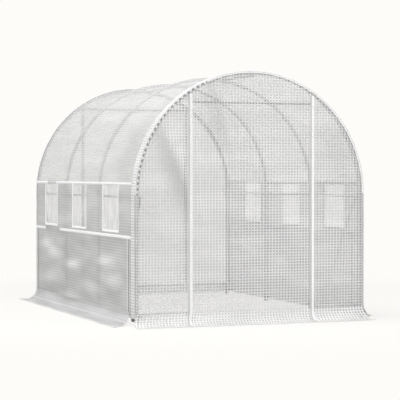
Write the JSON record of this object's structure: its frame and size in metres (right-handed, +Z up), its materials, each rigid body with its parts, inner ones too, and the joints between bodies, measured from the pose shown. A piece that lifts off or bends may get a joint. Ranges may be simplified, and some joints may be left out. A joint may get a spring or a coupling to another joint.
{
  "type": "polytunnel greenhouse",
  "caption": "Walk-in polytunnel: tube hoops and rails under a grid-reinforced film cover with a zipped door, screened side windows and a ground skirt.",
  "frame": {"origin": "on the ground, under the middle of the ridge", "axes": "+Z up, X across the tunnel, Y along it with the door end towards -Y"},
  "size_m": [2.364, 3.364, 2.0431],
  "materials": {
    "frame_tube": "galvanised tube",
    "clamps": "galvanised pressing",
    "feet": "moulded black plastic",
    "film": "translucent film with a white woven grid",
    "film_seam": "doubled film with a woven grid",
    "tape": "white woven tape",
    "netting": "fine white netting"
  },
  "bodies": {
    "root": {"back_brace_left": "frame_tube", "back_brace_right": "frame_tube", "back_edge_band": "film_seam", "back_ground_bar": "frame_tube", "back_lintel": "frame_tube", "back_panel": "film", "back_post_left": "frame_tube", "back_post_right": "frame_tube", "back_skirt": "film", "door_panel": "film", "door_post_feet": "feet", "door_zip_left": "tape", "door_zip_right": "tape", "front_brace_left": "frame_tube", "front_brace_right": "frame_tube", "front_edge_band": "film_seam", "front_ground_bars": "frame_tube", "front_lintel": "frame_tube", "front_panel_left": "film", "front_panel_right": "film", "front_post_left": "frame_tube", "front_post_right": "frame_tube", "front_skirt": "film", "ground_rail_left": "frame_tube", "ground_rail_right": "frame_tube", "hoop_back": "frame_tube", "hoop_front": "frame_tube", "hoop_second": "frame_tube", "hoop_third": "frame_tube", "leg_feet_left": "feet", "leg_feet_right": "feet", "lower_webbing_left": "tape", "lower_webbing_right": "tape", "rail_clamps_left": "clamps", "rail_clamps_right": "clamps", "ridge_clamps": "clamps", "ridge_rail": "frame_tube", "roof_cover": "film", "side_cover_left": "film", "side_cover_right": "film", "side_rail_left": "frame_tube", "side_rail_right": "frame_tube", "side_skirt_left": "film", "side_skirt_right": "film", "upper_webbing_left": "tape", "upper_webbing_right": "tape", "window_screens_left": "netting", "window_screens_right": "netting", "window_tapes_left": "tape", "window_tapes_right": "tape"}
  },
  "joints": []
}
